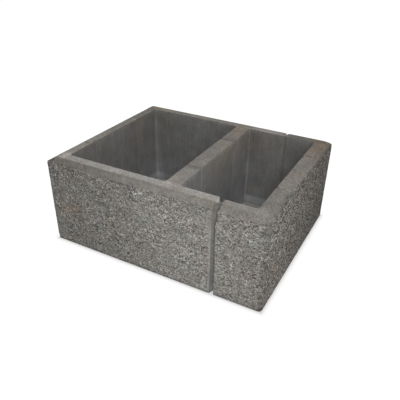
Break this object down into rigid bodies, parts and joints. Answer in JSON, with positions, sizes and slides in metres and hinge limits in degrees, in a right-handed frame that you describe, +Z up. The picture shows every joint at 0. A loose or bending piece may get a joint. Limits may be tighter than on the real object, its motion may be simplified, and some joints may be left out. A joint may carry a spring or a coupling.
{
  "type": "hollow wall block",
  "caption": "Rectangular hollow concrete wall block with through cores, a web between them, a bevelled top rim and splitting grooves near one end.",
  "frame": {"origin": "middle of the underside", "axes": "+X along the front face towards the short end, +Y from the front face to the back face, +Z up"},
  "size_m": [0.49, 0.39, 0.2],
  "materials": {
    "concrete": "rough"
  },
  "bodies": {
    "root": {"wall_block": "concrete"}
  },
  "joints": []
}
